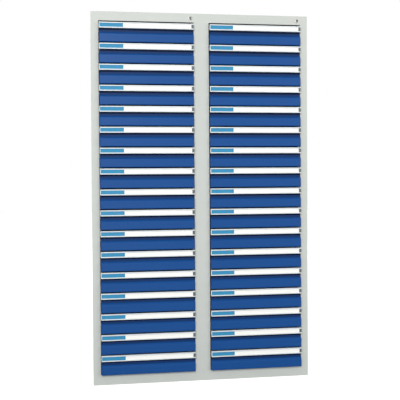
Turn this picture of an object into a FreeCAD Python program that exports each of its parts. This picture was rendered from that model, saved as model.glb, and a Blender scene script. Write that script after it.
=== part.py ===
import FreeCAD, Part
import math
import os
import re
import Sketcher

# Two-bay steel drawer cabinet: a folded sheet casing, 34 drawers on single
# extension slides and a central locking bar with a turning lock for each bay.
# Row frame: +Z up, the fronts face -Y, the origin is under the middle of the box.

# Driving sizes in millimetres, and counts, as the sheet's cells hold them
SIZES = [
    # Casing and its front frame
    ("casing_sheet", "1.2"),
    ("carcass_depth", "600"),
    ("stile_width", "36"),
    ("mullion_width", "74"),
    ("top_rail_height", "46"),
    ("bottom_rail_height", "49"),
    ("frame_return", "25"),
    ("rear_return", "22"),
    # Openings and the grid of drawers
    ("opening_width", "462"),
    ("drawer_rows", "17"),
    ("drawer_pitch", "100"),
    ("front_gap", "6"),
    ("head_gap", "8"),
    ("foot_gap", "3"),
    ("side_gap", "3"),
    # Drawer front: handle rail, finger recess, slanted and plain face
    ("front_proud", "22"),
    ("front_sheet", "1.2"),
    ("handle_height", "28"),
    ("handle_depth", "12"),
    ("lip_height", "5"),
    ("lip_sheet", "1.5"),
    ("slot_depth", "2"),
    ("clip_set", "0.2"),
    ("end_clip_length", "12"),
    ("recess_height", "19"),
    ("slant_height", "8.5"),
    ("crease_gap", "1.5"),
    ("cheek_depth", "26"),
    ("foot_bend", "3"),
    ("wall_inset", "6"),
    ("wall_drop", "2"),
    # Drawer tray
    ("tray_space", "18"),
    ("tray_sheet", "1"),
    ("tray_top_drop", "10"),
    ("tray_floor_rise", "3"),
    ("rear_space", "52"),
    # Slides
    ("slide_drop", "55"),
    ("slide_bar_reach", "9.5"),
    ("slide_bar_height", "3"),
    ("slide_bar_start", "40"),
    ("rail_start", "45"),
    ("rail_height", "24"),
    ("rail_sheet", "1.5"),
    ("rail_tip_gap", "0.7"),
    ("rail_web_gap", "0.5"),
    ("rail_end_gap", "2"),
    ("shoe_length", "30"),
    ("shoe_set", "2"),
    ("rear_shoe_inset", "10.5"),
    ("run_gap", "0.3"),
    # Posts that carry the slides
    ("post_width", "40"),
    ("post_sheet", "1.5"),
    ("front_post_start", "50"),
    ("rear_post_overrun", "5"),
    ("stop_strip_sheet", "3"),
    ("stop_strip_reach", "26"),
    # Locks and locking bars
    ("lock_inset", "15"),
    ("lock_drop", "23"),
    ("ring_radius", "10"),
    ("ring_proud", "2.5"),
    ("housing_reach", "6.7"),
    ("barrel_length", "16.5"),
    ("plug_radius", "6"),
    ("plug_gap", "0.1"),
    ("hole_gap", "0.2"),
    ("plug_set_back", "0.5"),
    ("key_slot_width", "1.6"),
    ("key_slot_height", "7"),
    ("key_slot_depth", "4"),
    ("cam_gap", "1"),
    ("cam_sheet", "3"),
    ("cam_hub", "6.4"),
    ("lock_lift", "10"),
    ("bar_edge_gap", "3.2"),
    ("bar_width", "4"),
    ("bar_depth", "6"),
    ("bar_set_back", "11"),
    ("bar_top_gap", "18"),
    ("bar_tail", "30"),
    ("hook_reach", "6.8"),
    ("hook_sheet", "3.5"),
    ("hook_height", "10"),
    ("lug_drop", "24"),
    ("lug_height", "12"),
    ("lug_sheet", "2"),
    ("lug_gap", "1"),
    ("hook_gap", "2"),
    ("head_sheet", "5"),
    ("head_leg", "40"),
    ("tab_height", "3"),
    ("tab_reach", "10"),
    ("guide_height", "14"),
    ("guide_ear", "1.5"),
    ("guide_short", "0.4"),
    ("guide_drop", "71"),
    ("guide_count", "3"),
    ("slot_gap", "0.8"),
    # Floor and wall fixings
    ("anchor_inset", "95"),
    ("anchor_set", "80"),
    ("anchor_radius", "5.5"),
    ("foot_plate", "80"),
    ("foot_plate_sheet", "4"),
    ("wall_fixing_radius", "4.5"),
    ("wall_fixing_drop", "60"),
    ("wall_fixing_inset", "85"),
    ("overrun", "5"),
]

# Sizes that follow from the driving ones
DERIVED = {
    "overall_width": "2 * stile_width + 2 * opening_width + mullion_width",
    "opening_height": "head_gap + drawer_rows * drawer_pitch - front_gap + foot_gap",
    "overall_height": "bottom_rail_height + opening_height + top_rail_height",
    "overall_depth": "front_proud + carcass_depth",
    "half_width": "overall_width / 2",
    "frame_front": "front_proud - overall_depth / 2",
    "carcass_back": "overall_depth / 2",
    "upright_height": "overall_height - 2 * casing_sheet",
    "bay_offset": "(mullion_width + opening_width) / 2",
    "opening_top": "overall_height - top_rail_height",
    "first_top": "opening_top - head_gap",
    "half_opening": "opening_width / 2",
    "front_height": "drawer_pitch - front_gap",
    "half_front": "half_opening - side_gap",
    "half_wall": "half_front - wall_inset",
    "half_tray": "half_opening - tray_space",
    "slant_top": "handle_height + recess_height",
    "face_top": "slant_top + slant_height",
    "slant_run": "handle_depth - crease_gap",
    "slant_drop": "front_sheet * sqrt(slant_run ^ 2 + slant_height ^ 2) / slant_run",
    "slant_rise": "slant_height / slant_run",
    "flange_reach": "handle_depth + front_sheet",
    "wall_face": "handle_depth - front_proud",
    "tray_start": "wall_face + front_sheet",
    "tray_back": "carcass_depth - rear_space",
    "tray_length": "tray_back - tray_sheet - tray_start",
    "tray_bottom": "front_height - tray_floor_rise",
    "rail_face": "half_tray + slide_bar_reach + rail_web_gap",
    "post_face": "rail_face + rail_sheet",
    "shoe_half_height": "rail_height / 2 - rail_sheet - run_gap",
    "slide_bar_end": "tray_back - rear_shoe_inset - shoe_length",
    "rail_length": "tray_back - rail_end_gap - rail_start",
    "rear_post_start": "tray_back + run_gap + stop_strip_sheet + rear_post_overrun - post_width",
    "outer_panel_face": "half_opening + stile_width - casing_sheet",
    "inner_panel_face": "half_opening + mullion_width / 2 - casing_sheet / 2",
    "lock_height": "overall_height - lock_drop",
    "lock_across": "half_opening - lock_inset",
    "bar_outer": "half_opening - bar_edge_gap",
    "bar_inner": "bar_outer - bar_width",
    "bar_back": "bar_set_back + bar_depth",
    "hook_drop": "lug_drop + lug_height + hook_gap",
    "lug_reach": "bar_inner - lug_gap - half_tray",
    "lug_set_back": "bar_set_back + hook_sheet + lug_gap",
    "tab_rise": "lock_height + cam_hub + run_gap - first_top",
    "bar_top_rise": "top_rail_height + head_gap - lock_drop - bar_top_gap",
    "bar_bottom_drop": "(drawer_rows - 1) * drawer_pitch + hook_drop + hook_height + bar_tail",
    "guide_spacing": "((drawer_rows - 1) * drawer_pitch + hook_drop - guide_drop) / (guide_count - 1)",
    "anchor_across": "half_width - anchor_inset",
    "anchor_front": "frame_front + anchor_set",
    "anchor_rear": "carcass_back - anchor_set",
}

NAMES = {alias for alias, cell in SIZES}

doc = FreeCAD.newDocument("drawer_cabinet")
sheet = doc.addObject("Spreadsheet::Sheet", "sizes")
for line, (alias, cell) in enumerate(SIZES, start=1):
    sheet.set("A%d" % line, alias)
    sheet.set("B%d" % line, cell)
    sheet.setAlias("B%d" % line, alias)
doc.recompute()

subparts = {}


def formula(text):
    """The text with sheet references for the sizes and worked out formulas for the derived ones."""
    def swap(found):
        word = found.group(0)
        if word in DERIVED:
            return "(" + formula(DERIVED[word]) + ")"
        return "sizes." + word if word in NAMES else word
    return re.sub(r"[a-z]+(?:_[a-z]+)*", swap, text)


def bind(thing, path, text):
    thing.setExpression(path, formula(text))


def locate(thing, across="0", deep="0", up="0"):
    """Binds a piece's place to the sheet."""
    for axis, text in (("x", across), ("y", deep), ("z", up)):
        if text != "0":
            bind(thing, "Placement.Base." + axis, text)


def box(name, across, deep, up):
    """A plate from its (start, length) along X, Y and Z."""
    plate = doc.addObject("Part::Box", name)
    for path, span in (("Length", across), ("Width", deep), ("Height", up)):
        bind(plate, path, span[1])
    locate(plate, across[0], deep[0], up[0])
    return plate


def draw(body, name, plane, outline):
    """A closed, fully constrained outline on one of the body's own planes."""
    sketch = body.newObject("Sketcher::SketchObject", name)
    base = [item for item in body.Origin.OriginFeatures if item.Role == plane + "_Plane"]
    sketch.AttachmentSupport = [(base[0], "")]
    sketch.MapMode = "FlatFace"
    count = len(outline)
    corner = [FreeCAD.Vector(i + 1, (i + 1) ** 2, 0) for i in range(count)]
    for i in range(count):
        sketch.addGeometry(Part.LineSegment(corner[i], corner[(i + 1) % count]), False)
    for i in range(count):
        sketch.addConstraint(Sketcher.Constraint("Coincident", i, 2, (i + 1) % count, 1))
    for i, (first, second) in enumerate(outline):
        for kind, text, start in (("DistanceX", first, corner[i].x), ("DistanceY", second, corner[i].y)):
            number = sketch.addConstraint(Sketcher.Constraint(kind, i, 1, start))
            bind(sketch, "Constraints[%d]" % number, text)
    return sketch


def pad(body, name, plane, outline, length):
    """Adds an extruded outline to the body; outlines on XZ grow towards +Y."""
    feature = body.newObject("PartDesign::Pad", name + "_pad")
    feature.Profile = draw(body, name + "_outline", plane, outline)
    feature.Reversed = plane == "XZ"
    bind(feature, "Length", length)
    body.Tip = feature
    return feature


def repeat_down(body, feature, name, spacing, count):
    """Repeats the feature downwards."""
    pattern = body.newObject("PartDesign::LinearPattern", name + "_rows")
    pattern.Originals = [feature]
    upwards = [item for item in body.Origin.OriginFeatures if item.Role == "Z_Axis"]
    pattern.Direction = (upwards[0], [""])
    pattern.Mode = "Spacing"
    pattern.Reversed = True
    bind(pattern, "Offset", spacing)
    bind(pattern, "Occurrences", count)
    body.Tip = pattern


def folded(name, plane, outline, length, across="0", deep="0", up="0"):
    """A folded or extruded piece: one outline with a length, placed by its start."""
    body = doc.addObject("PartDesign::Body", name)
    pad(body, name, plane, outline, length)
    locate(body, across, deep, up)
    return body


def mirrored(outline, side):
    """The outline on the other side of the bay when side is -1."""
    if side > 0:
        return outline
    return [("-(%s)" % first, second) for first, second in outline][::-1]


def cylinder(name, radius, across, deep, up, length, along_y):
    round_bar = doc.addObject("Part::Cylinder", name)
    if along_y:
        round_bar.Placement.Rotation = FreeCAD.Rotation(FreeCAD.Vector(1, 0, 0), -90)
    bind(round_bar, "Radius", radius)
    bind(round_bar, "Height", length)
    locate(round_bar, across, deep, up)
    return round_bar


def boolean(kind, name, base, tool):
    result = doc.addObject("Part::" + kind, name)
    result.Base = base
    result.Tool = tool
    return result


def group(name, pieces, across="0", deep="0", up="0"):
    """Separate solids that go together."""
    together = doc.addObject("Part::Compound", name)
    together.Links = pieces
    locate(together, across, deep, up)
    return together


def keep(name, thing):
    """Makes the object a sub-part of the cabinet under that name."""
    thing.Label = name
    subparts[name] = thing


def casing():
    """Flat panels and the partition between the bays."""
    for side, name in ((-1, "side_panel_left"), (1, "side_panel_right")):
        sheet_outline = [
            ("half_width", "frame_front + casing_sheet"),
            ("half_width", "carcass_back - casing_sheet"),
            ("half_width - rear_return", "carcass_back - casing_sheet"),
            ("half_width - rear_return", "carcass_back - 2 * casing_sheet"),
            ("half_width - casing_sheet", "carcass_back - 2 * casing_sheet"),
            ("half_width - casing_sheet", "frame_front + casing_sheet"),
        ]
        keep(name, folded(name, "XY", mirrored(sheet_outline, side), "upright_height", up="casing_sheet"))
    whole = (("-half_width", "overall_width"), ("frame_front", "carcass_depth"))
    keep("top_panel", box("top_panel", *whole, ("overall_height - casing_sheet", "casing_sheet")))
    anchors = [("%s_%s" % (row, side), across, deep)
               for row, deep in (("front", "anchor_front"), ("rear", "anchor_rear"))
               for side, across in (("left", "-anchor_across"), ("right", "anchor_across"))]
    plates = [box("foot_plate_" + place, (across + " - foot_plate / 2", "foot_plate"),
                  (deep + " - foot_plate / 2", "foot_plate"), ("casing_sheet", "foot_plate_sheet"))
              for place, across, deep in anchors]
    floor = doc.addObject("Part::MultiFuse", "floor_with_foot_plates")
    floor.Shapes = [box("floor_sheet", *whole, ("0", "casing_sheet"))] + plates
    drills = [cylinder("anchor_drill_" + place, "anchor_radius", across, deep, "-overrun",
                       "casing_sheet + foot_plate_sheet + 2 * overrun", False)
              for place, across, deep in anchors]
    keep("base_panel", boolean("Cut", "base_panel", floor, group("anchor_drills", drills)))
    back_sheet = box("back_sheet", ("-half_width", "overall_width"),
                     ("carcass_back - casing_sheet", "casing_sheet"), ("casing_sheet", "upright_height"))
    drills = [cylinder("wall_drill_%s" % name, "wall_fixing_radius", "%s(half_width - wall_fixing_inset)" % sign,
                       "carcass_back - casing_sheet - overrun", "overall_height - wall_fixing_drop",
                       "casing_sheet + 2 * overrun", True)
              for sign, name in (("-", "left"), ("", "right"))]
    keep("back_panel", boolean("Cut", "back_panel", back_sheet, group("wall_drills", drills)))
    keep("centre_partition", box("centre_partition", ("-casing_sheet / 2", "casing_sheet"),
                                 ("frame_front + frame_return", "carcass_depth - frame_return - casing_sheet"),
                                 ("casing_sheet", "upright_height")))


def front_frame():
    """Stiles, mullion and rails, each folded as a channel behind its face."""
    for side, name in ((-1, "frame_stile_left"), (1, "frame_stile_right")):
        keep(name, folded(name, "XY", mirrored(channel("half_width - stile_width", "half_width",
                          "half_width - stile_width", "half_width - casing_sheet"), side),
                          "upright_height", deep="frame_front", up="casing_sheet"))
    half = "mullion_width / 2"
    keep("frame_mullion", folded("frame_mullion", "XY", channel("-" + half, half, "-" + half, half),
                                 "opening_height", deep="frame_front", up="bottom_rail_height"))
    span = "overall_width - 2 * stile_width"
    low = rail_channel("casing_sheet", "bottom_rail_height")
    keep("frame_bottom_rail", folded("frame_bottom_rail", "YZ", low, span, "stile_width - half_width",
                                     "frame_front"))
    high = rail_channel("opening_top", "overall_height - casing_sheet")
    blank = folded("top_rail_blank", "YZ", high, span, "stile_width - half_width", "frame_front")
    cuts, reach = [], "housing_reach + hole_gap"
    for name, centre in BAYS:
        cuts.append(box("lock_hole_" + name,
                        ("%s + lock_across - (%s)" % (centre, reach), "2 * (%s)" % reach),
                        ("frame_front - overrun", "casing_sheet + 2 * overrun"),
                        ("lock_height - (%s)" % reach, "2 * (%s)" % reach)))
        cuts.append(box("bar_slot_" + name,
                        (centre + " + bar_inner - slot_gap", "bar_width + 2 * slot_gap"),
                        ("frame_front + bar_set_back - slot_gap", "bar_depth + head_sheet + 2 * slot_gap"),
                        ("opening_top - overrun", "casing_sheet + 2 * overrun")))
    keep("frame_top_rail", boolean("Cut", "frame_top_rail", blank, group("top_rail_cuts", cuts)))


def channel(near, far, near_leg, far_leg):
    """Plan of a face with two legs: the outer leg of a stile lies inside the side panel."""
    return [
        (near, "0"), (far, "0"), (far, "casing_sheet"), (far_leg, "casing_sheet"),
        (far_leg, "frame_return"), (far_leg + " - casing_sheet", "frame_return"),
        (far_leg + " - casing_sheet", "casing_sheet"), (near_leg + " + casing_sheet", "casing_sheet"),
        (near_leg + " + casing_sheet", "frame_return"), (near_leg, "frame_return"),
    ] if far != far_leg else [
        (near, "0"), (far, "0"), (far, "frame_return"), (far + " - casing_sheet", "frame_return"),
        (far + " - casing_sheet", "casing_sheet"), (near + " + casing_sheet", "casing_sheet"),
        (near + " + casing_sheet", "frame_return"), (near, "frame_return"),
    ]


def rail_channel(low, high):
    """Side view of a rail: a face with a leg along its lower and upper edge."""
    return [
        ("0", low), ("frame_return", low), ("frame_return", low + " + casing_sheet"),
        ("casing_sheet", low + " + casing_sheet"), ("casing_sheet", high + " - casing_sheet"),
        ("frame_return", high + " - casing_sheet"), ("frame_return", high), ("0", high),
    ]


def posts(name, centre, outer_side):
    """Four channel posts that carry a bay's slide rails, and two strips that stop the drawers."""
    pieces = []
    for side in (-1, 1):
        panel = "outer_panel_face" if side == outer_side else "inner_panel_face"
        word = "left" if side < 0 else "right"
        for row, start in (("front", "front_post_start"), ("rear", "rear_post_start")):
            end = start + " + post_width"
            outline = [
                ("post_face", start), (panel, start), (panel, start + " + post_sheet"),
                ("post_face + post_sheet", start + " + post_sheet"),
                ("post_face + post_sheet", end + " - post_sheet"),
                (panel, end + " - post_sheet"), (panel, end), ("post_face", end),
            ]
            pieces.append(folded("post_%s_%s_%s" % (name, word, row), "XY", mirrored(outline, side),
                                 "upright_height", up="casing_sheet"))
        near = "post_face - stop_strip_reach" if side > 0 else "-post_face"
        pieces.append(box("stop_strip_%s_%s" % (name, word), (near, "stop_strip_reach"),
                          ("tray_back + run_gap", "stop_strip_sheet"),
                          ("bottom_rail_height", "opening_height")))
    keep("posts_%s_bay" % name, group("posts_%s_bay" % name, pieces, centre, "frame_front"))


def slide_rails(node, centre, side):
    """Seventeen channel rails of one side of a bay, each with a shoe at its front end."""
    half = "rail_height / 2"
    rail_outline = [
        ("post_face", "-" + half), ("post_face", half), ("half_tray + rail_tip_gap", half),
        ("half_tray + rail_tip_gap", half + " - rail_sheet"), ("rail_face", half + " - rail_sheet"),
        ("rail_face", "rail_sheet - " + half), ("half_tray + rail_tip_gap", "rail_sheet - " + half),
        ("half_tray + rail_tip_gap", "-" + half),
    ]
    low, high = "rail_sheet - " + half, "-slide_bar_height / 2 - run_gap"
    shoe_outline = [
        ("half_tray + rail_tip_gap", low), ("rail_face", low), ("rail_face", high),
        ("half_tray + rail_tip_gap", high),
    ]
    pieces = []
    for word, outline, start, length in (
            ("rail", rail_outline, "rail_start", "rail_length"),
            ("front_shoe", shoe_outline, "rail_start + shoe_set", "shoe_length")):
        body = doc.addObject("PartDesign::Body", "%s_%s" % (node, word))
        feature = pad(body, body.Name, "XZ", mirrored(outline, side), length)
        repeat_down(body, feature, body.Name, "drawer_pitch", "drawer_rows")
        locate(body, deep=start, up="-slide_drop")
        pieces.append(body)
    keep(node, group(node, pieces, centre, "frame_front", "first_top"))


def lock_barrels():
    """A ring and a square housing in the top rail of each bay, bored for the plug."""
    barrels, square = [], ("-housing_reach", "2 * housing_reach")
    for name, centre in BAYS:
        ring = cylinder("lock_ring_" + name, "ring_radius", "0", "-ring_proud", "0", "ring_proud", True)
        housing = box("lock_housing_" + name, square, ("0", "barrel_length"), square)
        bore = cylinder("lock_bore_" + name, "plug_radius + plug_gap", "0", "-ring_proud - overrun", "0",
                        "ring_proud + barrel_length + 2 * overrun", True)
        barrel = boolean("Cut", "barrel_" + name, boolean("Fuse", "barrel_blank_" + name, ring, housing), bore)
        locate(barrel, centre + " + lock_across", "frame_front", "lock_height")
        barrels.append(barrel)
    keep("lock_barrels", group("lock_barrels", barrels))


def lock_plug(name, centre):
    """Plug with a key slot, and the cam that lifts the locking bar."""
    core = cylinder("plug_core_" + name, "plug_radius", "0", "plug_set_back - ring_proud", "0",
                    "ring_proud - plug_set_back + barrel_length + cam_gap", True)
    slot = box("key_slot_" + name, ("-key_slot_width / 2", "key_slot_width"),
               ("plug_set_back - ring_proud - overrun", "key_slot_depth + overrun"),
               ("-key_slot_height / 2", "key_slot_height"))
    plug = boolean("Cut", "plug_body_" + name, core, slot)
    keep("lock_plug_" + name, group("lock_plug_" + name, [plug, cam_plate("lock_cam_" + name)],
                                    centre + " + lock_across", "frame_front", "lock_height"))


def cam_plate(name):
    """Snail cam with an involute edge: its highest point rises evenly with the turn.

    The edge's distance from the axis, along a direction that is turned by an angle from
    straight up towards -X, is the hub radius plus the base radius times that angle.
    """
    hub = sheet.get("cam_hub")
    base = sheet.get("lock_lift") / math.radians(90)
    steps = 6
    points = []
    for step in range(steps + 1):
        turn = math.radians(90) * step / steps
        reach = hub + base * turn
        points.append(FreeCAD.Vector(-reach * math.sin(turn) - base * math.cos(turn), 0,
                                     reach * math.cos(turn) - base * math.sin(turn)))
    for turn in (math.radians(degrees) for degrees in range(150, 360, 30)):
        points.append(FreeCAD.Vector(-hub * math.sin(turn), 0, hub * math.cos(turn)))
    face = Part.Face(Part.makePolygon(points + points[:1]))
    cam = doc.addObject("Part::Feature", name)
    cam.Shape = face.extrude(FreeCAD.Vector(0, sheet.get("cam_sheet"), 0))
    locate(cam, deep="barrel_length + cam_gap")
    return cam


def locking_bar(name, centre):
    """Flat bar with a hook for each drawer and the head that the cam lifts, and its guides."""
    place = (centre, "frame_front", "first_top")
    bar = box("bar_" + name, ("bar_inner", "bar_width"), ("bar_set_back", "bar_depth"),
              ("-bar_bottom_drop", "bar_bottom_drop + bar_top_rise"))
    hooks = doc.addObject("PartDesign::Body", "hooks_" + name)
    hook = pad(hooks, "hook_" + name, "XZ", [
        ("bar_inner - hook_reach", "-hook_drop - hook_height"), ("bar_inner", "-hook_drop - hook_height"),
        ("bar_inner", "-hook_drop"), ("bar_inner - hook_reach", "-hook_drop")], "hook_sheet")
    repeat_down(hooks, hook, "hook_" + name, "drawer_pitch", "drawer_rows")
    locate(hooks, deep="bar_set_back")
    leg = box("bar_leg_" + name, ("bar_inner", "bar_width"), ("bar_back", "head_sheet"),
              ("head_gap - head_leg", "head_leg - head_gap + tab_rise + tab_height"))
    tab = box("bar_tab_" + name, ("lock_across - tab_reach", "bar_inner - lock_across + tab_reach"),
              ("bar_back", "head_sheet"), ("tab_rise", "tab_height"))
    keep("locking_bar_" + name, group("locking_bar_" + name, [bar, hooks, leg, tab], *place))

    near, far = "bar_set_back - run_gap", "bar_back + run_gap"
    tip, seat = "bar_inner + guide_short", "bar_outer + run_gap"
    guide_outline = [
        ("half_opening", near + " - guide_ear"), ("half_opening", far + " + guide_ear"),
        (tip, far + " + guide_ear"), (tip, far), (seat, far), (seat, near), (tip, near),
        (tip, near + " - guide_ear"),
    ]
    guide = doc.addObject("PartDesign::Body", "guide_" + name)
    feature = pad(guide, "guide_" + name, "XY", guide_outline, "guide_height")
    repeat_down(guide, feature, "guide_" + name, "guide_spacing", "guide_count")
    locate(guide, up="-guide_drop - guide_height")
    keep("bar_guides_" + name, group("bar_guides_" + name, [guide], *place))


def drawer_front():
    """Folded front: slant under the finger recess, plain face and rounded foot, between two cheeks."""
    skin = folded("front_skin", "YZ", [
        ("slant_run", "-slant_top"), ("0", "-face_top"), ("0", "foot_bend - front_height"),
        ("foot_bend", "-front_height"), ("flange_reach", "-front_height"),
        ("flange_reach", "front_sheet - front_height"),
        ("foot_bend + front_sheet / 2", "front_sheet - front_height"),
        ("front_sheet", "foot_bend - front_height + front_sheet / 2"),
        ("front_sheet", "-face_top - slant_drop + slant_rise * front_sheet"),
        ("slant_run", "-slant_top - slant_drop"),
    ], "2 * (half_front - front_sheet)", "front_sheet - half_front", "-front_proud")
    cheek_outline = [
        ("slant_run", "-slant_top"), ("0", "-face_top"), ("0", "foot_bend - front_height"),
        ("foot_bend", "-front_height"), ("cheek_depth", "-front_height"), ("cheek_depth", "-slant_top"),
    ]
    return [skin] + [folded("front_cheek_" + word, "YZ", cheek_outline, "front_sheet", near, "-front_proud")
                     for word, near in (("left", "-half_front"), ("right", "half_front - front_sheet"))]


def handle_rail():
    """Extruded rail along the top of the front; its lips hold the label strip and the end clip."""
    slot, low_lip = "lip_sheet + slot_depth", "lip_height - handle_height"
    rail = folded("handle_rail", "YZ", [
        ("0", "0"), ("handle_depth", "0"), ("handle_depth", "-handle_height"), ("0", "-handle_height"),
        ("0", low_lip), (slot, low_lip), (slot, "-lip_height"), ("0", "-lip_height"),
    ], "2 * half_front", "-half_front", "-front_proud")
    window = (low_lip, "handle_height - 2 * lip_height")
    strip = box("label_strip", ("-half_front", "2 * half_front - end_clip_length"),
                ("lip_sheet - front_proud", "slot_depth"), window)
    clip = box("label_end_clip", ("half_front - end_clip_length", "end_clip_length"),
               ("clip_set - front_proud", slot + " - clip_set"), window)
    return [rail, strip, clip]


def tray():
    """Sheet tray with its front and back walls, slide bars, rear shoes and lock lug."""
    low, side_height = "-tray_bottom", "tray_bottom - tray_sheet - tray_top_drop"
    pieces = [
        box("tray_floor", ("-half_tray", "2 * half_tray"), ("tray_start", "tray_length"), (low, "tray_sheet")),
        box("tray_front_wall", ("-half_wall", "2 * half_wall"), ("wall_face", "front_sheet"),
            ("front_sheet - front_height", "front_height - front_sheet - wall_drop")),
        box("tray_back_wall", ("-half_tray", "2 * half_tray"), ("tray_back - tray_sheet", "tray_sheet"),
            (low, "tray_bottom - tray_top_drop")),
        box("lock_lug", ("half_tray", "lug_reach"), ("lug_set_back", "lug_sheet"),
            ("-lug_drop - lug_height", "lug_height")),
    ]
    for word, wall, near in (("left", "-half_tray", "-half_tray - slide_bar_reach"),
                             ("right", "half_tray - tray_sheet", "half_tray")):
        pieces.append(box("tray_side_" + word, (wall, "tray_sheet"), ("tray_start", "tray_length"),
                          (low + " + tray_sheet", side_height)))
        pieces.append(box("slide_bar_" + word, (near, "slide_bar_reach"),
                          ("slide_bar_start", "slide_bar_end - slide_bar_start"),
                          ("-slide_drop - slide_bar_height / 2", "slide_bar_height")))
        pieces.append(box("rear_shoe_" + word, (near, "slide_bar_reach"), ("slide_bar_end", "shoe_length"),
                          ("-slide_drop - shoe_half_height", "2 * shoe_half_height")))
    return pieces


def drawers():
    """One pattern drawer, placed in every row of both bays."""
    pieces = drawer_front() + handle_rail() + tray()
    for bay, centre in BAYS:
        for number in range(int(sheet.get("drawer_rows"))):
            node = "drawer_%s_%02d" % (bay, number + 1)
            keep(node, group(node, pieces, centre, "frame_front", "first_top - %d * drawer_pitch" % number))


BAYS = [("left", "-bay_offset"), ("right", "bay_offset")]

casing()
front_frame()
for bay, centre in BAYS:
    outer_side = -1 if bay == "left" else 1
    posts(bay, centre, outer_side)
    for side in (-1, 1):
        where = "outer" if side == outer_side else "inner"
        slide_rails("slide_rails_%s_%s" % (bay, where), centre, side)
    lock_plug(bay, centre)
    locking_bar(bay, centre)
lock_barrels()
drawers()
doc.recompute()

faults = [item.Name for item in doc.Objects if {"Invalid", "Error"} & set(item.State)]
for name, thing in subparts.items():
    if thing.Shape.isNull() or not thing.Shape.isValid() or not thing.Shape.Solids:
        faults.append(name)
if faults:
    raise RuntimeError("failed: " + ", ".join(faults))

os.makedirs("parts", exist_ok=True)
for name, thing in subparts.items():
    thing.Shape.exportStep("parts/%s.step" % name)

whole = FreeCAD.BoundBox()
for thing in subparts.values():
    whole.add(thing.Shape.BoundBox)
print("nodes", len(subparts), "box", whole)
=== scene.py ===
import math

import bmesh
import bpy
from mathutils import Matrix, Vector


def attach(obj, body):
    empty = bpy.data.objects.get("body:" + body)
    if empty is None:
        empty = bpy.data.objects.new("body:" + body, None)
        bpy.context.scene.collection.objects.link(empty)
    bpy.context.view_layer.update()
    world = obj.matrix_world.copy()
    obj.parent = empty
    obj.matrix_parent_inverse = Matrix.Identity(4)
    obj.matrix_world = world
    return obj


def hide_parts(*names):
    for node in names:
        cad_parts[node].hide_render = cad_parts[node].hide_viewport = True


# Drawer cabinet with two bays of seventeen drawers. All lengths are in metres.
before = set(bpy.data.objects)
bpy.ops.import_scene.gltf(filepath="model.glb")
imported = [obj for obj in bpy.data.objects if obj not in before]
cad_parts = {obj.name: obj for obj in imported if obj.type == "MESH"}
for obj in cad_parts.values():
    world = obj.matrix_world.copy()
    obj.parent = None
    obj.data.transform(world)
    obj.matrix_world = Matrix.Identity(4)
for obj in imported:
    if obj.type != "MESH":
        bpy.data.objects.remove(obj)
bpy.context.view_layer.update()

MM = 0.001

# Casing, measured from the cabinet's middle and the floor; minus y is the front
BAYS = {"left": -268 * MM, "right": 268 * MM}
ROWS = 17
PITCH = 100 * MM
HALF_WIDTH = 535 * MM
HEIGHT = 1800 * MM
BACK = 311 * MM
FRAME_FRONT = -289 * MM
FRONT_PROUD = 22 * MM
FIRST_TOP = 1746 * MM
OPENING_LOW = 49 * MM
OPENING_TOP = 1756.5 * MM
STILE_EDGE = 499 * MM
MULLION_EDGE = 37 * MM
CASING_SHEET = 1.2 * MM
SIDE_RETURN = 22 * MM
SHEET_BEND = 1.6 * MM
TOP_EASE = 0.4 * MM

# Slide rails, across from the bay's middle and back from the frame's front
RAIL_TIP = 213.7 * MM
RAIL_WEB = 224.5 * MM
RAIL_HALF_HEIGHT = 12 * MM
RAIL_SHEET = 1.5 * MM
RAIL_START = 45 * MM
RAIL_LENGTH = 501 * MM
SHOE_OUTER = 223 * MM
SHOE_START, SHOE_END = 47 * MM, 77 * MM
SHOE_LOW, SHOE_TOP = -10.5 * MM, -1.8 * MM
SHOE_EASE = 0.6 * MM

# Locks and locking bars, across from the bay's middle and back from the frame's front;
# the ring's profile lists radius and depth in millimetres
LOCK_ACROSS = 216 * MM
LOCK_HEIGHT = 1777 * MM
LOCK_STEPS = 32
BORE_RADIUS = 6.1 * MM
BORE_START, BORE_END = -0.4 * MM, 18 * MM
HOUSING_HALF = 6.7 * MM
HOUSING_DEPTH = 16.5 * MM
HOUSING_EASE = 0.3 * MM
LOCK_HOLE_HALF = 6.9 * MM
HOLE_REACH = 5 * MM
RING_PROFILE = ((6.1, 0), (6.1, -1.9), (6.5, -2.4), (7.2, -2.5), (8.4, -2.5), (9.3, -2.1),
                (9.8, -1.4), (10, -0.6), (10, 0))
BAR_INNER, BAR_OUTER = 223.8 * MM, 227.8 * MM
BAR_START = 11 * MM
BAR_DEPTH = 6 * MM
BAR_LOW, BAR_TOP = 68 * MM, 1759 * MM
BAR_EASE = 0.4 * MM
HOOK_REACH = 6.8 * MM
HOOK_SHEET = 3.5 * MM
HOOK_LOW, HOOK_TOP = -48 * MM, -38 * MM
LEG_DEPTH = 5 * MM
LEG_LOW = -32 * MM
TAB_INNER = 206 * MM
TAB_LOW, TAB_TOP = 1783.7 * MM, 1786.7 * MM

# Drawer, measured from the front face, the bay's middle and the drawer's top edge;
# the crease lists depth and height from the face's top in millimetres
HALF_FRONT = 228 * MM
FRONT_HEIGHT = 94 * MM
FRONT_SHEET = 1.2 * MM
FRONT_BEND = 4.5 * MM
FRONT_BEND_STEPS = 5
FOOT_BEND = 3.5 * MM
FOOT_BEND_STEPS = 4
SLANT_TOP = 47 * MM
SLANT_RUN = 10.5 * MM
FACE_TOP = 55.5 * MM
CREASE = ((0.6, 0.5), (0.15, -0.4), (0, -1.4))
CHEEK_DEPTH = 26 * MM
HALF_WALL = 227 * MM
WALL_DROP = 2 * MM
# Lower edge of the painted shadow band at the top of the recess wall, under the handle rail
PAINTED_SHADOW_EDGE = -37 * MM

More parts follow.
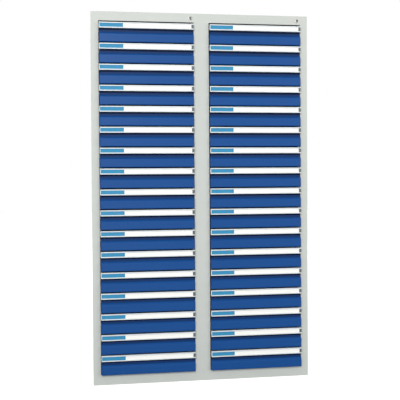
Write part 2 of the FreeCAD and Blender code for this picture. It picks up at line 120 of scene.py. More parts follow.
# Handle rail with its card and end clip; its eases name corners and millimetres
HANDLE_HEIGHT = 28 * MM
HANDLE_DEPTH = 12 * MM
LIP = 5 * MM
LIP_SHEET = 1.5 * MM
LIP_UNDERCUT = 1.5 * MM
CARD_GROOVE = 2 * MM
HANDLE_EASES = {0: 1.2, 1: 0.6, 2: 0.6, 3: 0.7, 4: 0.7, 5: 0.4, 10: 0.4, 11: 0.7}
CARD_FACE = 2.6 * MM
CARD_PLAY = 0.2 * MM
BLUE_START, BLUE_END = -225.5 * MM, -112.5 * MM
CARD_END = 217 * MM
CLIP_START, CLIP_END = 218 * MM, 227.6 * MM
CLIP_FACE = 0.5 * MM
CLIP_EASE = 0.5 * MM

# Tray, slide bars, rear shoes and lug
HALF_TRAY = 213 * MM
TRAY_SHEET = 1 * MM
TRAY_START = 13.2 * MM
TRAY_END = 570 * MM
TRAY_TOP = -10 * MM
TRAY_BOTTOM = -91 * MM
TRAY_BEND = 1.5 * MM
HEM_HEIGHT = 9 * MM
HEM_EASE = 0.4 * MM
BACK_EASE = 0.2 * MM
SLIDE_LEVEL = -55 * MM
SLIDE_REACH = 9.5 * MM
SLIDE_START, SLIDE_END = 62 * MM, 529.5 * MM
SLIDE_HALF_HEIGHT = 1.5 * MM
SLIDE_EASE = 0.3 * MM
REAR_SHOE_END = 559.5 * MM
REAR_SHOE_HALF_HEIGHT = 10.2 * MM
REAR_SHOE_EASE = 0.8 * MM
LUG_START, LUG_END = 37.5 * MM, 39.5 * MM
LUG_LOW, LUG_TOP = -36 * MM, -24 * MM
LUG_OUTER = 222.8 * MM

# Mesh tools; points nearer than MERGE are one, nearer than SLIVER at the pressed front's folds
SMOOTH_ANGLE = math.radians(35)
BEND_STEPS = 3
CORNER_SHARES = (0, 0.3, 0.7, 1)
MERGE = 0.000001
SLIVER = 0.00001
SAME_DIGITS = 7

# Textures: noise scales for each metre, then shades as parts of the colour, then depths
CLOUD_SCALE, CLOUD_SHADES = 6, (0.985, 1.012)
COAT_SCALE, PEEL_SCALE = 160, 700
LINE_SCALE, LINE_STRETCH, LINE_SHADE = 1600, 40, 0.93
LINE_DEPTH = 0.03 * MM
SPANGLE_SCALE, SPANGLE_SHADES, SPANGLE_SATIN = 90, (0.72, 1.05), (0.32, 0.5)
MOULD_SCALE, GRAIN_SCALE = 300, 1500
FIBRE_SCALE, FIBRE_SHADE = 420, 0.97
FILM, FILM_ROUGHNESS = 0.12, 0.12

# Camera, with its yaw, pitch and roll in degrees
CAMERA_PLACE = (-0.538, -3.657, 1.03)
CAMERA_TURN = (8.23, 1.0, -0.36)
CAMERA_SENSOR = 36
CAMERA_LENS = 62.55
CAMERA_SHIFT = (0.0206, -0.041)
CAMERA_CLIP = (0.1, 60)

# Light: each soft box has a name, a place, a target, a width, a height and a power
AMBIENT = 0.54
SOFT_BOXES = (
    ("key_soft_box", (-1.6, -5.0, 2.7), (0, 0, 0.9), 1.6, 1.2, 126),
    ("fill_soft_box", (3.5, -4.5, 2.0), (0, 0, 0.8), 2.4, 2.4, 64),
    ("low_soft_box", (-1.0, -5.6, 0.45), (0, 0, 0.6), 2.6, 0.7, 18),
    ("rear_soft_box", (2.4, 5.2, 3.6), (0, 0, 0.9), 2.4, 2.0, 120),
)
FLOOR_CLOTH = 0.42
FLOOR_GLOW = 0.88
FLOOR_REACH = 14


# Finishes

def linear(red, green, blue):
    """A screen colour (0 to 255) as the shader wants it."""
    def channel(value):
        value /= 255
        return value / 12.92 if value <= 0.04045 else ((value + 0.055) / 1.055) ** 2.4
    return (channel(red), channel(green), channel(blue), 1)


def new_finish(name, colour, roughness, metallic=0.0):
    material = bpy.data.materials.new(name)
    material.use_nodes = True
    shader = material.node_tree.nodes["Principled BSDF"]
    shader.inputs["Base Color"].default_value = colour
    shader.inputs["Roughness"].default_value = roughness
    shader.inputs["Metallic"].default_value = metallic
    return material, material.node_tree, shader


def object_place(tree, scale=(1, 1, 1)):
    """Object coordinates, stretched by scale."""
    source = tree.nodes.new("ShaderNodeTexCoord")
    mapping = tree.nodes.new("ShaderNodeMapping")
    mapping.inputs["Scale"].default_value = scale
    tree.links.new(source.outputs["Object"], mapping.inputs["Vector"])
    return mapping.outputs["Vector"]


def noise(tree, place, scale, detail):
    texture = tree.nodes.new("ShaderNodeTexNoise")
    texture.inputs["Scale"].default_value = scale
    texture.inputs["Detail"].default_value = detail
    tree.links.new(place, texture.inputs["Vector"])
    return texture.outputs["Fac"]


def spread(tree, value, low, high, start=0.3, end=0.7):
    """Maps a noise value between start and end onto low to high."""
    ramp = tree.nodes.new("ShaderNodeMapRange")
    ramp.inputs["From Min"].default_value = start
    ramp.inputs["From Max"].default_value = end
    ramp.inputs["To Min"].default_value = low
    ramp.inputs["To Max"].default_value = high
    tree.links.new(value, ramp.inputs["Value"])
    return ramp.outputs["Result"]


def vary_colour(tree, shader, value, first, second):
    """Base colour between two colours, by a value from 0 to 1."""
    mix = tree.nodes.new("ShaderNodeMix")
    mix.data_type = "RGBA"
    mix.inputs["A"].default_value = first
    mix.inputs["B"].default_value = second
    tree.links.new(value, mix.inputs["Factor"])
    tree.links.new(mix.outputs["Result"], shader.inputs["Base Color"])


def roughen(tree, shader, height, distance):
    bump = tree.nodes.new("ShaderNodeBump")
    bump.inputs["Distance"].default_value = distance
    bump.inputs["Strength"].default_value = 1
    tree.links.new(height, bump.inputs["Height"])
    tree.links.new(bump.outputs["Normal"], shader.inputs["Normal"])


def shaded(colour, factor):
    return tuple(part * factor for part in colour[:3]) + (1,)


def powder_coat(name, colour, roughness, peel, gloss=0.5):
    """Baked powder paint: a fine orange peel and a faint cloudiness."""
    material, tree, shader = new_finish(name, colour, roughness)
    shader.inputs["Specular IOR Level"].default_value = gloss
    place = object_place(tree)
    clouds = spread(tree, noise(tree, place, CLOUD_SCALE, 3), 0, 1)
    dark, light = (shaded(colour, shade) for shade in CLOUD_SHADES)
    vary_colour(tree, shader, clouds, dark, light)
    satin = spread(tree, noise(tree, place, COAT_SCALE, 2), roughness - 0.05, roughness + 0.06)
    tree.links.new(satin, shader.inputs["Roughness"])
    roughen(tree, shader, noise(tree, place, PEEL_SCALE, 2), peel)
    return material


def drawn_metal(name, colour, roughness, along):
    """Bare metal with fine lines along the axis named by along."""
    material, tree, shader = new_finish(name, colour, roughness, 1.0)
    stretch = [LINE_STRETCH if axis == along else LINE_SCALE for axis in "XYZ"]
    lines = noise(tree, object_place(tree, stretch), 1, 3)
    satin = spread(tree, lines, roughness - 0.07, roughness + 0.1)
    tree.links.new(satin, shader.inputs["Roughness"])
    vary_colour(tree, shader, spread(tree, lines, 0, 1), shaded(colour, LINE_SHADE), colour)
    roughen(tree, shader, lines, LINE_DEPTH)
    return material


def zinc_plate(name):
    """Galvanised sheet with its spangle."""
    colour = linear(190, 193, 196)
    material, tree, shader = new_finish(name, colour, 0.4, 1.0)
    cells = tree.nodes.new("ShaderNodeTexVoronoi")
    cells.inputs["Scale"].default_value = SPANGLE_SCALE
    tree.links.new(object_place(tree), cells.inputs["Vector"])
    split = tree.nodes.new("ShaderNodeSeparateColor")
    tree.links.new(cells.outputs["Color"], split.inputs["Color"])
    dark, light = (shaded(colour, shade) for shade in SPANGLE_SHADES)
    vary_colour(tree, shader, split.outputs["Red"], dark, light)
    satin = spread(tree, split.outputs["Green"], *SPANGLE_SATIN, start=0, end=1)
    tree.links.new(satin, shader.inputs["Roughness"])
    return material


def plastic(name, colour, roughness, grain):
    """Moulded plastic with a fine grain."""
    material, tree, shader = new_finish(name, colour, roughness)
    place = object_place(tree)
    satin = spread(tree, noise(tree, place, MOULD_SCALE, 2), roughness - 0.06, roughness + 0.08)
    tree.links.new(satin, shader.inputs["Roughness"])
    roughen(tree, shader, noise(tree, place, GRAIN_SCALE, 2), grain)
    return material


def label_stock(name, colour):
    """Card behind a clear strip: paper fibre under a smooth coat."""
    material, tree, shader = new_finish(name, colour, 0.6)
    fibre = spread(tree, noise(tree, object_place(tree), FIBRE_SCALE, 4), 0, 1)
    vary_colour(tree, shader, fibre, shaded(colour, FIBRE_SHADE), colour)
    shader.inputs["Specular IOR Level"].default_value = 0.3
    shader.inputs["Coat Weight"].default_value = FILM
    shader.inputs["Coat Roughness"].default_value = FILM_ROUGHNESS
    return material


CASING_GREY = powder_coat("casing_grey", linear(202, 206, 201), 0.5, 0.00003, 0.3)
DRAWER_BLUE = powder_coat("drawer_blue", linear(19, 75, 141), 0.42, 0.00003, 0.2)
# Recess wall: the drawer blue darkened as painted shade
PAINTED_SHADE_WALL_BLUE = powder_coat("painted_shade_wall_blue", linear(8, 48, 98), 0.55, 0.00003, 0.2)
# Band just under the handle rail: near-black painted shadow
PAINTED_SHADOW_BLUE = powder_coat("painted_shadow_blue", linear(3, 24, 56), 0.6, 0.00003, 0.1)
TRAY_GREY = powder_coat("tray_grey", linear(205, 208, 206), 0.48, 0.00003)
RAIL_PALE = powder_coat("rail_pale", linear(222, 228, 231), 0.38, 0.00002)
ZINC = zinc_plate("zinc_plate")
BRIGHT_NICKEL = drawn_metal("bright_nickel", linear(196, 196, 192), 0.2, "Y")
# Lock plug: bare metal, darker than the ring partly as painted shade for the keyway and for the
# dark reflections
PLUG_STEEL_PAINTED_SHADE = drawn_metal("plug_steel_painted_shade", linear(104, 106, 108), 0.28, "Y")
SLIDE_NYLON = plastic("slide_nylon", linear(225, 224, 216), 0.45, 0.00001)
CLIP_GREY = plastic("clip_grey", linear(92, 100, 102), 0.5, 0.00002)
GUIDE_BLACK = plastic("guide_black", linear(38, 38, 40), 0.5, 0.00002)
LABEL_WHITE = label_stock("label_white", linear(253, 253, 248))
LABEL_BLUE = label_stock("label_blue", linear(51, 142, 185))


# Mesh tools

def to_mesh(build, name, finishes):
    """Turns a bmesh into a mesh with smooth bends and crisp folds."""
    bmesh.ops.remove_doubles(build, verts=build.verts, dist=MERGE)
    bmesh.ops.recalc_face_normals(build, faces=build.faces)
    for face in build.faces:
        face.smooth = True
    for edge in build.edges:
        edge.smooth = len(edge.link_faces) == 2 and edge.calc_face_angle(0) < SMOOTH_ANGLE
    mesh = bpy.data.meshes.new(name)
    build.to_mesh(mesh)
    build.free()
    for finish in finishes:
        mesh.materials.append(finish)
    return mesh


def offset_path(path, distance):
    """The open path moved to its left by distance, with mitred corners."""
    moved = []
    for i, point in enumerate(path):
        before = (point - path[i - 1]).normalized() if i else None
        after = (path[i + 1] - point).normalized() if i + 1 < len(path) else None
        before, after = before or after, after or before
        left = Vector((-before.y - after.y, before.x + after.x)).normalized()
        moved.append(point + left * (distance / left.dot(Vector((-after.y, after.x)))))
    return moved


def round_corners(path, radius, steps):
    """The open path with an arc in place of each corner."""
    points = [path[0]]
    for i in range(1, len(path) - 1):
        into = (path[i] - path[i - 1]).normalized()
        out = (path[i + 1] - path[i]).normalized()
        turn = into.angle_signed(out)
        reach = radius * math.tan(abs(turn) / 2)
        start = path[i] - into * reach
        side = 1 if turn < 0 else -1
        centre = start + Vector((-into.y, into.x)) * radius * side
        arm = start - centre
        for step in range(steps + 1):
            arc = arm.copy()
            arc.rotate(Matrix.Rotation(-turn * step / steps, 2))
            points.append(centre + arc)
    points.append(path[-1])
    return points


def folded_strip(build, outer, sheet, radius, place, length):
    """A folded sheet: an outer path, its thickness to the left, extruded.

    place turns a path point and a distance along the length into a 3-D point.
    """
    flat = offset_path([Vector(p) for p in outer], sheet / 2)
    middle = round_corners(flat, radius, BEND_STEPS)
    left, right = offset_path(middle, sheet / 2), offset_path(middle, -sheet / 2)
    ends = []
    for along in (0, length):
        ends.append(([build.verts.new(place(p, along)) for p in left],
                     [build.verts.new(place(p, along)) for p in right]))
    (a, b), (c, d) = ends
    faces = []
    for i in range(len(middle) - 1):
        faces += [(a[i], a[i + 1], b[i + 1], b[i]), (c[i], d[i], d[i + 1], c[i + 1]),
                  (a[i], c[i], c[i + 1], a[i + 1]), (b[i], b[i + 1], d[i + 1], d[i])]
    for i in (0, -1):
        faces.append((a[i], b[i], d[i], c[i]))
    for corners in faces:
        build.faces.new(corners)


def block(build, low, high, slot=0, edge=0.0, segments=1):
    """A plate or block with its edges eased."""
    made = bmesh.ops.create_cube(build, size=1)["verts"]
    for vert in made:
        vert.co = Vector([lo if part < 0 else hi for lo, hi, part in zip(low, high, vert.co)])
    faces = {face for vert in made for face in vert.link_faces}
    for face in faces:
        face.material_index = slot
    if edge:
        edges = list({line for vert in made for line in vert.link_edges})
        bmesh.ops.bevel(build, geom=edges, offset=edge, segments=segments, profile=0.5,
                        affect="EDGES", material=slot)


def show(name, mesh):
    thing = bpy.data.objects.new(name, mesh)
    bpy.context.scene.collection.objects.link(thing)
    return thing


def settled(thing):
    """Puts what the modifiers make into the object's own mesh, flat sheet shaded evenly."""
    even = thing.modifiers.new("even", "WEIGHTED_NORMAL")
    even.keep_sharp = True
    view = bpy.context.evaluated_depsgraph_get()
    mesh = bpy.data.meshes.new_from_object(thing.evaluated_get(view))
    thing.modifiers.clear()
    thing.data = mesh
    mesh.name = thing.name
    return thing


def line_of_copies_tree():
    """Geometry nodes that repeat a pattern in a straight line and give it one finish."""
    tree = bpy.data.node_groups.new("line_of_copies", "GeometryNodeTree")
    inputs = {"Pattern": "Geometry", "Step": "Vector", "Count": "Int", "Finish": "Material"}
    for name, kind in inputs.items():
        tree.interface.new_socket(name, in_out="INPUT", socket_type="NodeSocket" + kind)
    tree.interface.new_socket("Copies", in_out="OUTPUT", socket_type="NodeSocketGeometry")
    add = tree.nodes.new
    source, result = add("NodeGroupInput"), add("NodeGroupOutput")
    line, stamp = add("GeometryNodeMeshLine"), add("GeometryNodeInstanceOnPoints")
    real, paint = add("GeometryNodeRealizeInstances"), add("GeometryNodeSetMaterial")
    join = tree.links.new
    join(source.outputs["Count"], line.inputs["Count"])
    join(source.outputs["Step"], line.inputs["Offset"])
    join(line.outputs["Mesh"], stamp.inputs["Points"])
    join(source.outputs["Pattern"], stamp.inputs["Instance"])
    join(stamp.outputs["Instances"], real.inputs["Geometry"])
    join(real.outputs["Geometry"], paint.inputs["Geometry"])
    join(source.outputs["Finish"], paint.inputs["Material"])
    join(paint.outputs["Geometry"], result.inputs["Copies"])
    return tree


COPIES = line_of_copies_tree()


def pattern(build, name, finishes):
    """A settled mesh for pieces that are placed more than once."""
    thing = settled(show(name, to_mesh(build, name, finishes)))
    mesh = thing.data
    bpy.data.objects.remove(thing)
    return mesh


def row_copies(build, finish):
    """A mesh with the built pattern repeated once for each row, downwards."""
    thing = show("pattern", to_mesh(build, "pattern", [finish]))
    modifier = thing.modifiers.new("copies", "NODES")
    modifier.node_group = COPIES
    values = {"Step": (0, 0, -PITCH), "Count": ROWS, "Finish": finish}
    for item in COPIES.interface.items_tree:
        if item.in_out == "INPUT" and item.name in values:
            modifier[item.identifier] = values[item.name]
    mesh = settled(thing).data
    bpy.data.objects.remove(thing)
    return mesh


def joined(name, meshes):
    """One object from several meshes, each with its own finish."""
    build = bmesh.new()
    finishes = []
    for mesh in meshes:
        before = len(build.faces)
        build.from_mesh(mesh)
        build.faces.ensure_lookup_table()
        for face in build.faces[before:]:
            face.material_index = len(finishes)
        finishes.append(mesh.materials[0])
    return settled(show(name, to_mesh(build, name, finishes)))


def thicken(thing, sheet):
    """Gives a surface its sheet thickness on the inner side."""
    wall = thing.modifiers.new("sheet", "SOLIDIFY")
    wall.thickness = sheet
    wall.offset = -1
    wall.use_even_offset = True


def cut_out(thing, mesh):
    """Cuts a mesh out of the object."""
    cutter = show("cutter", mesh)
    cut = thing.modifiers.new("holes", "BOOLEAN")
    cut.operation = "DIFFERENCE"
    cut.object = cutter
    cut.solver = "EXACT"
    settled(thing)
    bpy.data.objects.remove(cutter)


def stand_for(thing, body, slot, *nodes):
    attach(thing, body)
    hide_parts(*nodes)


# Casing

def frame_face():
    """The frame's outer face, in one mesh with both bays left open."""
    across = [-HALF_WIDTH, -STILE_EDGE, -MULLION_EDGE, MULLION_EDGE, STILE_EDGE, HALF_WIDTH]
    up = [CASING_SHEET, OPENING_LOW, OPENING_TOP, HEIGHT - CASING_SHEET]
    build = bmesh.new()
    grid = [[build.verts.new((x, FRAME_FRONT, z)) for z in up] for x in across]
    openings = ((1, 1), (3, 1))
    for i in range(len(across) - 1):
        for j in range(len(up) - 1):
            if (i, j) not in openings:
                build.faces.new((grid[i][j], grid[i][j + 1], grid[i + 1][j + 1], grid[i + 1][j]))
    whole = bpy.data.meshes.new("frame_face")
    build.to_mesh(whole)
    build.free()
    return whole


def front_frame():
    """Stiles, mullion and rails as flat sheet, without the returns that the solids have."""
    whole = frame_face()
    parts = {
        "frame_stile_left": lambda c: c.x < -STILE_EDGE,
        "frame_stile_right": lambda c: c.x > STILE_EDGE,
        "frame_mullion": lambda c: abs(c.x) < MULLION_EDGE and OPENING_LOW < c.z < OPENING_TOP,
        "frame_top_rail": lambda c: c.z > OPENING_TOP and abs(c.x) < STILE_EDGE,
        "frame_bottom_rail": lambda c: c.z < OPENING_LOW and abs(c.x) < STILE_EDGE,
    }
    for node, keeps in parts.items():
        piece = bmesh.new()
        piece.from_mesh(whole)
        others = [face for face in piece.faces if not keeps(face.calc_center_median())]
        bmesh.ops.delete(piece, geom=others, context="FACES")
        thing = show(node + "_folded", to_mesh(piece, node, [CASING_GREY]))
        thicken(thing, CASING_SHEET)
        if node == "frame_top_rail":
            pierce_top_rail(thing)
        stand_for(settled(thing), "cabinet", "casing_paint", node)


def pierce_top_rail(thing):
    """Square holes for the lock barrels, under their rings."""
    build = bmesh.new()
    for middle in BAYS.values():
        lock, half = middle + LOCK_ACROSS, LOCK_HOLE_HALF
        block(build, (lock - half, FRAME_FRONT - HOLE_REACH, LOCK_HEIGHT - half),
              (lock + half, FRAME_FRONT + HOLE_REACH, LOCK_HEIGHT + half))
    cut_out(thing, to_mesh(build, "rail_cutter", []))


def side_panels():
    """The two side sheets, each folded round at the back."""
    def upright(point, along):
        """A plan outline raised to its height."""
        return (point.x, point.y, CASING_SHEET + along)
    for side, name in ((-1, "left"), (1, "right")):
        build = bmesh.new()
        front, back = FRAME_FRONT + CASING_SHEET, BACK - CASING_SHEET
        outer = [(side * HALF_WIDTH, front), (side * HALF_WIDTH, back),
                 (side * (HALF_WIDTH - SIDE_RETURN), back)]
        folded_strip(build, outer if side > 0 else outer[::-1], CASING_SHEET, SHEET_BEND, upright,
                     HEIGHT - 2 * CASING_SHEET)
        node = "side_panel_" + name
        thing = show(node + "_folded", to_mesh(build, node, [CASING_GREY]))
        stand_for(settled(thing), "cabinet", "casing_paint", node)


def top_panel():
    build = bmesh.new()
    block(build, (-HALF_WIDTH, FRAME_FRONT, HEIGHT - CASING_SHEET), (HALF_WIDTH, BACK, HEIGHT),
          edge=TOP_EASE, segments=2)
    thing = show("top_panel_sheet", to_mesh(build, "top_panel_sheet", [CASING_GREY]))
    stand_for(settled(thing), "cabinet", "casing_paint", "top_panel")


# Running gear inside the casing

def slide_rails():
    """Channel rails with their front shoes, one row for each drawer."""
    def along_y(point, along):
        return (point.x, FRAME_FRONT + RAIL_START + along, point.y)
    level = FIRST_TOP + SLIDE_LEVEL
    low, top = level - RAIL_HALF_HEIGHT, level + RAIL_HALF_HEIGHT
    for bay, middle in BAYS.items():
        for side in (-1, 1):
            outer = (bay == "left") == (side < 0)
            tip, web = middle + side * RAIL_TIP, middle + side * RAIL_WEB
            path = [(tip, low), (web, low), (web, top), (tip, top)]
            build = bmesh.new()
            folded_strip(build, path if side > 0 else path[::-1], RAIL_SHEET, SHEET_BEND, along_y,
                         RAIL_LENGTH)
            rails = row_copies(build, ZINC)
            build = bmesh.new()
            near, far = sorted((tip, middle + side * SHOE_OUTER))
            block(build, (near, FRAME_FRONT + SHOE_START, level + SHOE_LOW),
                  (far, FRAME_FRONT + SHOE_END, level + SHOE_TOP), edge=SHOE_EASE, segments=2)
            shoes = row_copies(build, SLIDE_NYLON)
            node = "slide_rails_%s_%s" % (bay, "outer" if outer else "inner")
            thing = joined(node + "_folded", [rails, shoes])
            stand_for(thing, "cabinet", "galvanised_steel", node)


def lock_barrels():
    """Turned rings with an eased rim on bored square housings, one in each bay's top rail."""
    def circle(build, middle, radius, deep):
        turns = (math.tau * i / LOCK_STEPS for i in range(LOCK_STEPS))
        return [build.verts.new((middle + LOCK_ACROSS + radius * math.cos(t), FRAME_FRONT + deep,
                                 LOCK_HEIGHT + radius * math.sin(t))) for t in turns]

    def bridge(build, first, second):
        for i in range(LOCK_STEPS):
            build.faces.new((first[i - 1], first[i], second[i], second[i - 1]))
    build, holes = bmesh.new(), bmesh.new()
    for middle in BAYS.values():
        rings = [circle(build, middle, radius * MM, deep * MM) for radius, deep in RING_PROFILE]
        for first, second in zip(rings, rings[1:] + rings[:1]):
            bridge(build, first, second)
        x, half = middle + LOCK_ACROSS, HOUSING_HALF
        block(build, (x - half, FRAME_FRONT, LOCK_HEIGHT - half),
              (x + half, FRAME_FRONT + HOUSING_DEPTH, LOCK_HEIGHT + half), edge=HOUSING_EASE)
        near = circle(holes, middle, BORE_RADIUS, BORE_START)
        far = circle(holes, middle, BORE_RADIUS, BORE_END)
        bridge(holes, near, far)
        holes.faces.new(near)
        holes.faces.new(far[::-1])
    thing = show("lock_barrels_turned", to_mesh(build, "lock_barrels", [BRIGHT_NICKEL]))
    cut_out(thing, to_mesh(holes, "bores", []))
    stand_for(thing, "cabinet", "lock_chrome", "lock_barrels")


def locking_bars():
    """Flat bars with a hook for each drawer, and a leg and a tab at the top for the cam."""
    near, deep = FRAME_FRONT + BAR_START, FRAME_FRONT + BAR_START + BAR_DEPTH
    for bay, middle in BAYS.items():
        inner, outer = middle + BAR_INNER, middle + BAR_OUTER
        build = bmesh.new()
        block(build, (inner, near, BAR_LOW), (outer, deep, BAR_TOP), edge=BAR_EASE, segments=2)
        bar = to_mesh(build, "bar", [ZINC])
        build = bmesh.new()
        block(build, (inner - HOOK_REACH, near, FIRST_TOP + HOOK_LOW),
              (inner, near + HOOK_SHEET, FIRST_TOP + HOOK_TOP), edge=BAR_EASE, segments=2)
        hooks = row_copies(build, ZINC)
        build = bmesh.new()
        block(build, (inner, deep, FIRST_TOP + LEG_LOW), (outer, deep + LEG_DEPTH, TAB_TOP),
              edge=BAR_EASE, segments=2)
        block(build, (middle + TAB_INNER, deep, TAB_LOW), (inner, deep + LEG_DEPTH, TAB_TOP),
              edge=BAR_EASE, segments=2)
        head = to_mesh(build, "head", [ZINC])
        node = "locking_bar_" + bay
        thing = joined(node + "_steel", [bar, hooks, head])
        stand_for(thing, node, "galvanised_steel", node)


# Drawers

def front_pan():
    """Pressed front: slanted top, plain face, rolled foot and turned-in cheeks."""
    def arc(centre, radius, start, end, steps):
        turns = (math.radians(start + (end - start) * i / steps) for i in range(steps + 1))
        return [(centre[0] + radius * math.cos(t), centre[1] + radius * math.sin(t)) for t in turns]
    bend, foot = FRONT_BEND, FOOT_BEND
    profile = [(SLANT_RUN, -SLANT_TOP)]
    profile += [(deep * MM, up * MM - FACE_TOP) for deep, up in CREASE]
    profile += arc((foot, foot - FRONT_HEIGHT), foot, 180, 270, FOOT_BEND_STEPS)
    profile.append((CHEEK_DEPTH, -FRONT_HEIGHT))
    half_plan = arc((HALF_FRONT - bend, bend), bend, 270, 360, FRONT_BEND_STEPS)
    half_plan.append((HALF_FRONT, CHEEK_DEPTH))
    plan = [(-x, y) for x, y in half_plan[::-1]] + half_plan
    build = bmesh.new()
    rows = [[build.verts.new((x, max(deep, back), z)) for x, back in plan] for deep, z in profile]
    for upper, lower in zip(rows, rows[1:]):
        for i in range(len(plan) - 1):
            corners = (upper[i], lower[i], lower[i + 1], upper[i + 1])
            places = {tuple(round(part, SAME_DIGITS) for part in v.co) for v in corners}
            if len(places) > 2:
                build.faces.new(corners)
    bmesh.ops.remove_doubles(build, verts=build.verts, dist=SLIVER)
    bmesh.ops.dissolve_degenerate(build, dist=SLIVER, edges=build.edges)
    loose = [vert for vert in build.verts if not vert.link_faces]
    bmesh.ops.delete(build, geom=loose, context="VERTS")
    thing = show("front_pattern", to_mesh(build, "front_pattern", [DRAWER_BLUE]))
    thicken(thing, FRONT_SHEET)
    shell = settled(thing).data
    bpy.data.objects.remove(thing)
    return shell


def drawer_front():
    """The pressed front and the wall behind its finger recess. The wall is painted darker than the
    front as painted shade, and darkest at the top as a painted shadow under the handle rail.
    """
    build = bmesh.new()
    build.from_mesh(front_pan())
    # Lower recess wall: drawer blue darkened as painted shade
    block(build, (-HALF_WALL, HANDLE_DEPTH, FRONT_SHEET - FRONT_HEIGHT),
          (HALF_WALL, TRAY_START, PAINTED_SHADOW_EDGE), slot=1)
    # Top band of the recess wall, under the handle rail: a darker painted shadow
    block(build, (-HALF_WALL, HANDLE_DEPTH, PAINTED_SHADOW_EDGE), (HALF_WALL, TRAY_START, -WALL_DROP), slot=2)
    return pattern(build, "drawer_front", [DRAWER_BLUE, PAINTED_SHADE_WALL_BLUE, PAINTED_SHADOW_BLUE])


def eased_outline(outline, eases):
    """The closed outline with the corners that eases lists rounded, in millimetres."""
    points = []
    for i, corner in enumerate(outline):
        here = Vector(corner)
        if i not in eases:
            points.append(here)
            continue
        radius = eases[i] * MM
        into = (here - Vector(outline[i - 1])).normalized()
        out = (Vector(outline[(i + 1) % len(outline)]) - here).normalized()
        start, end = here - into * radius, here + out * radius
        for share in CORNER_SHARES:
            points.append(start.lerp(here, share).lerp(here.lerp(end, share), share))
    return points


def handle_rail():
    """Extruded rail with rounded lips, its label strip and the end clip."""
    back, deep, under = LIP_SHEET, LIP_SHEET + CARD_GROOVE, LIP - LIP_UNDERCUT
    outline = [(0, 0), (HANDLE_DEPTH, 0), (HANDLE_DEPTH, -HANDLE_HEIGHT), (0, -HANDLE_HEIGHT),
               (0, LIP - HANDLE_HEIGHT), (back, LIP - HANDLE_HEIGHT), (back, under - HANDLE_HEIGHT),
               (deep, under - HANDLE_HEIGHT), (deep, -under), (back, -under), (back, -LIP),
               (0, -LIP)]
    points = eased_outline(outline, HANDLE_EASES)
    build = bmesh.new()
    ends = [[build.verts.new((x, p.x, p.y)) for p in points] for x in (-HALF_FRONT, HALF_FRONT)]
    for i in range(len(points)):
        build.faces.new((ends[0][i - 1], ends[0][i], ends[1][i], ends[1][i - 1]))
    build.faces.new(ends[0])
    build.faces.new(ends[1][::-1])
    top, low = -(under + CARD_PLAY), under + CARD_PLAY - HANDLE_HEIGHT
    spans = ((-HALF_FRONT, BLUE_START, 1), (BLUE_START, BLUE_END, 2), (BLUE_END, CARD_END, 1))
    for start, end, slot in spans:
        block(build, (start, CARD_FACE, low), (end - CARD_PLAY, deep, top), slot)
    block(build, (CLIP_START, CLIP_FACE, LIP - HANDLE_HEIGHT + CARD_PLAY),
          (CLIP_END, deep - CARD_PLAY, -LIP - CARD_PLAY),
          slot=3, edge=CLIP_EASE, segments=2)
    return pattern(build, "handle_rail", [RAIL_PALE, LABEL_WHITE, LABEL_BLUE, CLIP_GREY])


def drawer_tray():
    """Folded tray with hemmed walls, slide bars, rear shoes and the lug that the lock holds."""
    def along_y(point, along):
        return (point.x, TRAY_START + along, point.y)
    inner_end = TRAY_END - TRAY_SHEET
    build = bmesh.new()
    path = [(-HALF_TRAY, TRAY_TOP), (-HALF_TRAY, TRAY_BOTTOM), (HALF_TRAY, TRAY_BOTTOM),
            (HALF_TRAY, TRAY_TOP)]
    folded_strip(build, path, TRAY_SHEET, TRAY_BEND, along_y, TRAY_END - TRAY_START - TRAY_SHEET)
    for side in (-1, 1):
        near, far = sorted((side * HALF_TRAY, side * (HALF_TRAY + TRAY_SHEET)))
        block(build, (near, TRAY_START, TRAY_TOP - HEM_HEIGHT), (far, inner_end, TRAY_TOP),
              edge=HEM_EASE, segments=2)
    block(build, (-HALF_TRAY, inner_end, TRAY_BOTTOM), (HALF_TRAY, TRAY_END, TRAY_TOP),
          edge=BACK_EASE)
    for side in (-1, 1):
        near, far = sorted((side * HALF_TRAY, side * (HALF_TRAY + SLIDE_REACH)))
        block(build, (near, SLIDE_START, SLIDE_LEVEL - SLIDE_HALF_HEIGHT),
              (far, SLIDE_END, SLIDE_LEVEL + SLIDE_HALF_HEIGHT), slot=1, edge=SLIDE_EASE)
        block(build, (near, SLIDE_END, SLIDE_LEVEL - REAR_SHOE_HALF_HEIGHT),
              (far, REAR_SHOE_END, SLIDE_LEVEL + REAR_SHOE_HALF_HEIGHT),
              slot=2, edge=REAR_SHOE_EASE, segments=2)
    block(build, (HALF_TRAY, LUG_START, LUG_LOW), (LUG_OUTER, LUG_END, LUG_TOP),
          slot=1, edge=SLIDE_EASE)
    return pattern(build, "drawer_tray", [TRAY_GREY, ZINC, SLIDE_NYLON])


def drawers():
    """Each drawer's front, handle rail and tray, in both bays from the top down."""
    kinds = (("front", drawer_front(), "drawer_paint"),
             ("handle", handle_rail(), "handle_aluminium"),
             ("tray", drawer_tray(), "tray_paint"))
    for bay, middle in BAYS.items():
        for row in range(ROWS):
            node = "drawer_%s_%02d" % (bay, row + 1)
            place = (middle, FRAME_FRONT - FRONT_PROUD, FIRST_TOP - row * PITCH)
            for kind, shape, slot in kinds:
                mesh = shape.copy()
                mesh.name = node + "_" + kind
                mesh.transform(Matrix.Translation(place))
                stand_for(show(mesh.name, mesh), node, slot, node)


def repaint(finish, *nodes):
    """Gives CAD solids that keep their shape a real finish."""
    for node in nodes:
        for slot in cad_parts[node].material_slots:
            slot.material = finish


# Camera, light and floor

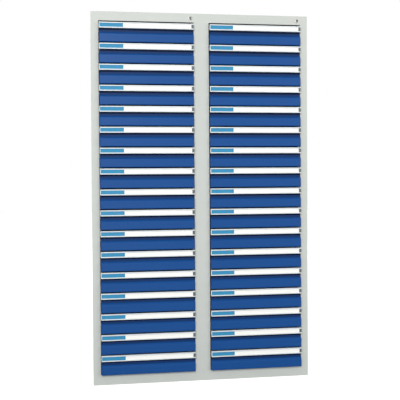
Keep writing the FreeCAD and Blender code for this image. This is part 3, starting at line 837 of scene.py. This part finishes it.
def camera():
    data = bpy.data.cameras.new("camera")
    data.sensor_width = CAMERA_SENSOR
    data.lens = CAMERA_LENS
    data.shift_x, data.shift_y = CAMERA_SHIFT
    data.clip_start, data.clip_end = CAMERA_CLIP
    eye = bpy.data.objects.new("camera", data)
    yaw, pitch, roll = (math.radians(angle) for angle in CAMERA_TURN)
    eye.matrix_world = (Matrix.Translation(CAMERA_PLACE) @ Matrix.Rotation(-yaw, 4, "Z")
                        @ Matrix.Rotation(math.pi / 2 - pitch, 4, "X")
                        @ Matrix.Rotation(roll, 4, "Z"))
    bpy.context.scene.collection.objects.link(eye)
    bpy.context.scene.camera = eye
    bpy.context.scene.view_settings.view_transform = "Standard"


def soft_box(name, place, target, width, height, power):
    data = bpy.data.lights.new(name, "AREA")
    data.shape = "RECTANGLE"
    data.size, data.size_y = width, height
    data.energy = power
    lamp = bpy.data.objects.new(name, data)
    lamp.location = place
    aim = Vector(target) - Vector(place)
    lamp.rotation_euler = aim.to_track_quat("-Z", "Y").to_euler()
    bpy.context.scene.collection.objects.link(lamp)


def studio():
    """Soft boxes in a dim white room, which the camera, gloss and glass see as full white."""
    world = bpy.data.worlds.new("studio")
    bpy.context.scene.world = world
    world.use_nodes = True
    tree = world.node_tree
    tree.nodes.clear()
    add, join = tree.nodes.new, tree.links.new
    rays, seen, glossy = add("ShaderNodeLightPath"), add("ShaderNodeMath"), add("ShaderNodeMath")
    seen.operation = glossy.operation = "MAXIMUM"
    join(rays.outputs["Is Camera Ray"], seen.inputs[0])
    join(rays.outputs["Is Glossy Ray"], glossy.inputs[0])
    join(rays.outputs["Is Transmission Ray"], glossy.inputs[1])
    join(glossy.outputs[0], seen.inputs[1])
    dim, white = add("ShaderNodeBackground"), add("ShaderNodeBackground")
    for background, strength in ((dim, AMBIENT), (white, 1)):
        background.inputs["Color"].default_value = (1, 1, 1, 1)
        background.inputs["Strength"].default_value = strength
    mix, out = add("ShaderNodeMixShader"), add("ShaderNodeOutputWorld")
    join(seen.outputs[0], mix.inputs["Fac"])
    join(dim.outputs[0], mix.inputs[1])
    join(white.outputs[0], mix.inputs[2])
    join(mix.outputs[0], out.inputs["Surface"])
    for details in SOFT_BOXES:
        soft_box(*details)


def floor():
    """A grey cloth for the light that falls on it, near white to the camera."""
    build = bmesh.new()
    signs = ((-1, -1), (1, -1), (1, 1), (-1, 1))
    build.faces.new([build.verts.new((FLOOR_REACH * x, FLOOR_REACH * y, 0)) for x, y in signs])
    material = bpy.data.materials.new("studio_floor")
    material.use_nodes = True
    tree = material.node_tree
    tree.nodes.clear()
    add, join = tree.nodes.new, tree.links.new
    cloth, glow = add("ShaderNodeBsdfDiffuse"), add("ShaderNodeEmission")
    cloth.inputs["Color"].default_value = (FLOOR_CLOTH, FLOOR_CLOTH, FLOOR_CLOTH, 1)
    rays, level = add("ShaderNodeLightPath"), add("ShaderNodeMath")
    total, out = add("ShaderNodeAddShader"), add("ShaderNodeOutputMaterial")
    level.operation = "MULTIPLY"
    level.inputs[1].default_value = FLOOR_GLOW
    join(rays.outputs["Is Camera Ray"], level.inputs[0])
    join(level.outputs[0], glow.inputs["Strength"])
    join(cloth.outputs[0], total.inputs[0])
    join(glow.outputs[0], total.inputs[1])
    join(total.outputs[0], out.inputs["Surface"])
    ground = show("floor", to_mesh(build, "floor", [material]))


front_frame()
side_panels()
top_panel()
slide_rails()
lock_barrels()
locking_bars()
drawers()
repaint(CASING_GREY, "base_panel", "back_panel", "centre_partition")
repaint(ZINC, "posts_left_bay", "posts_right_bay")
# Lock plugs get the darker metal, partly painted shade
repaint(PLUG_STEEL_PAINTED_SHADE, "lock_plug_left", "lock_plug_right")
repaint(GUIDE_BLACK, "bar_guides_left", "bar_guides_right")
camera()
studio()
floor()
